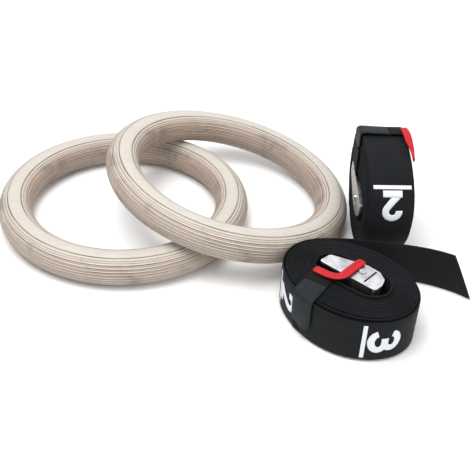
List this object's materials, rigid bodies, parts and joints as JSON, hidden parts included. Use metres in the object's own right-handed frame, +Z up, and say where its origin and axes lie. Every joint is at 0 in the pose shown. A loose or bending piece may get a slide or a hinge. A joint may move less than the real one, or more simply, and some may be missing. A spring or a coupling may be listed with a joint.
{
  "type": "gymnastics rings",
  "caption": "Pair of round laminated-wood gymnastics rings with two numbered webbing straps, each coiled round its cam buckle and held by a tie.",
  "frame": {"origin": "middle of the set's footprint, on the floor", "axes": "+X from the rings to the straps, +Z up, -Y towards the side with the flat coil"},
  "size_m": [0.4489, 0.326, 0.1178],
  "materials": {
    "plywood": "sanded, unvarnished",
    "webbing": "woven, matt",
    "buckle": "satin die-cast",
    "pins": "plated",
    "spring": "drawn wire",
    "tie": "brushed loop",
    "tie_hook": "hook pile",
    "red_tab": "soft tape"
  },
  "bodies": {
    "ring_left": {"ring_left": "plywood"},
    "ring_right": {"ring_right": "plywood"},
    "flat_coil": {"flat_webbing_roll": "webbing", "flat_webbing_tail": "webbing", "flat_anchor_loop": "webbing", "flat_buckle_frame": "buckle", "flat_anchor_bar": "pins", "flat_cam_pin": "pins", "flat_cam_spring": "spring", "flat_tie_flap": "tie", "flat_tie_band": "tie_hook", "flat_pull_tab": "red_tab"},
    "flat_lever": {"flat_cam_lever": "buckle"},
    "upright_coil": {"upright_webbing_roll": "webbing", "upright_webbing_tail": "webbing", "upright_anchor_loop": "webbing", "upright_buckle_frame": "buckle", "upright_anchor_bar": "pins", "upright_cam_pin": "pins", "upright_cam_spring": "spring", "upright_tie_flap": "tie", "upright_tie_band": "tie_hook", "upright_pull_tab": "red_tab"},
    "upright_lever": {"upright_cam_lever": "buckle"}
  },
  "joints": [
    {"name": "right_ring_lift", "type": "slide", "parent": "ring_left", "child": "ring_right", "axis": [-0.1191, 0, 0.9929], "range_m": [0, 0.12]},
    {"name": "flat_coil_lift", "type": "slide", "parent": "ring_left", "child": "flat_coil", "axis": [0, 0, 1], "range_m": [0, 0.12]},
    {"name": "upright_coil_lift", "type": "slide", "parent": "ring_left", "child": "upright_coil", "axis": [0, 0, 1], "range_m": [0, 0.12]},
    {"name": "flat_cam_press", "type": "hinge", "parent": "flat_coil", "child": "flat_lever", "pos_m": [0.11845, -0.10823, 0.0254], "axis": [0, 0, 1], "range_deg": [0, 24], "stiffness_Nm_per_rad": 0.25, "springref_deg": -22.92},
    {"name": "upright_cam_press", "type": "hinge", "parent": "upright_coil", "child": "upright_lever", "pos_m": [0.14306, 0.00586, 0.0501], "axis": [0.9968, 0.0802, 0], "range_deg": [0, 24], "stiffness_Nm_per_rad": 0.25, "springref_deg": -22.92}
  ]
}
